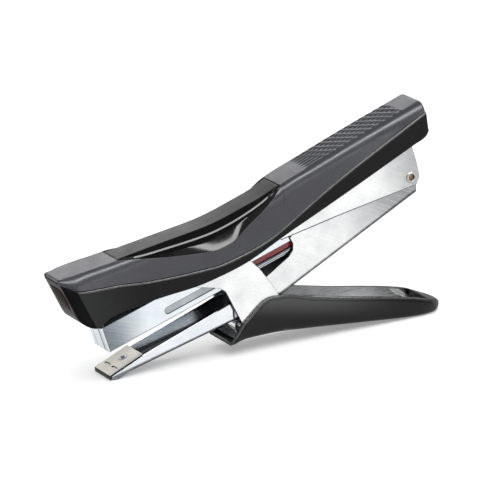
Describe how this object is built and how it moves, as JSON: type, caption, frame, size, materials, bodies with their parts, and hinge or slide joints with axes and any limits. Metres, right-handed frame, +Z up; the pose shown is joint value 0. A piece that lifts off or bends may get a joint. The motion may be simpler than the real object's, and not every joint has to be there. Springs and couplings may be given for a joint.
{
  "type": "plier stapler",
  "caption": "Hand-squeezed plier stapler with a sprung lower handle, a hinged magazine, a pull-back follower and a folded anvil arm.",
  "frame": {"origin": "on the table, under the middle of the whole length and width, as the stapler stands on its anvil tip and handle heel", "axes": "+X from the jaw to the rear end, +Y across to the far side, +Z up"},
  "size_m": [0.196, 0.0238, 0.102],
  "materials": {
    "polished_steel": "polished nickel-chrome plate",
    "brushed_steel": "brushed sheet steel",
    "nickel_plate": "matt nickel plate",
    "spring_steel": "plain spring steel",
    "staple_wire": "galvanised wire",
    "black_plastic": "fine satin mould texture",
    "gloss_black": "high gloss",
    "grey_plastic": "satin dark grey with a faint metallic fleck",
    "red_plastic": "dark red, slightly translucent"
  },
  "bodies": {
    "frame": {"anvil_arm": "polished_steel", "anvil_plate": "nickel_plate", "anvil_rivet": "polished_steel", "frame_channel": "brushed_steel", "frame_rivets": "brushed_steel", "hinge_rivet": "polished_steel", "hinge_bush": "polished_steel", "jaw_spring": "spring_steel", "jaw_spring_rivet": "polished_steel"},
    "magazine": {"magazine_channel": "polished_steel", "magazine_front_plate": "polished_steel", "staple_rail": "polished_steel", "staple_strip": "staple_wire", "guide_rod": "polished_steel", "guide_rod_anchor": "black_plastic", "follower_spring": "spring_steel"},
    "follower": {"staple_pusher": "black_plastic", "follower_grip": "red_plastic"},
    "upper_lever": {"lever_core": "brushed_steel", "rear_bracket": "brushed_steel", "driver_blade": "spring_steel", "lever_pivots": "polished_steel", "lever_spring": "spring_steel", "lower_casing": "black_plastic", "head_insert": "gloss_black", "inlay_panel": "gloss_black", "top_cover": "grey_plastic", "cover_screws": "brushed_steel"},
    "lower_handle": {"handle_shell": "black_plastic", "handle_channel": "brushed_steel", "pressure_roller": "polished_steel", "roller_pin": "polished_steel", "handle_rivets": "polished_steel"}
  },
  "joints": [
    {"name": "lever_hinge", "type": "hinge", "parent": "frame", "child": "upper_lever", "pos_m": [0.08, 0, 0.0672], "axis": [0, -1, 0], "range_deg": [0, 6.2], "deforming": ["lever_spring"]},
    {"name": "magazine_hinge", "type": "hinge", "parent": "frame", "child": "magazine", "pos_m": [0.08, 0, 0.0672], "axis": [0, -1, 0], "range_deg": [0, 3], "deforming": ["jaw_spring", "lever_spring"]},
    {"name": "handle_squeeze", "type": "hinge", "parent": "upper_lever", "child": "lower_handle", "pos_m": [-0.0352, 0, 0.0455], "axis": [0, -1, 0], "range_deg": [0, 21.44], "stiffness_Nm_per_rad": 1.2, "springref_deg": -25.78},
    {"name": "follower_slide", "type": "slide", "parent": "magazine", "child": "follower", "axis": [0.954, 0, 0.2997], "range_m": [0, 0.038], "stiffness_N_per_m": 20, "springref_m": -0.04, "deforming": ["follower_spring"]}
  ],
  "couplings": [
    {"joint": "lever_hinge", "follows": "handle_squeeze", "ratio": 0.28904},
    {"joint": "magazine_hinge", "follows": "handle_squeeze", "ratio": 0.13986}
  ]
}
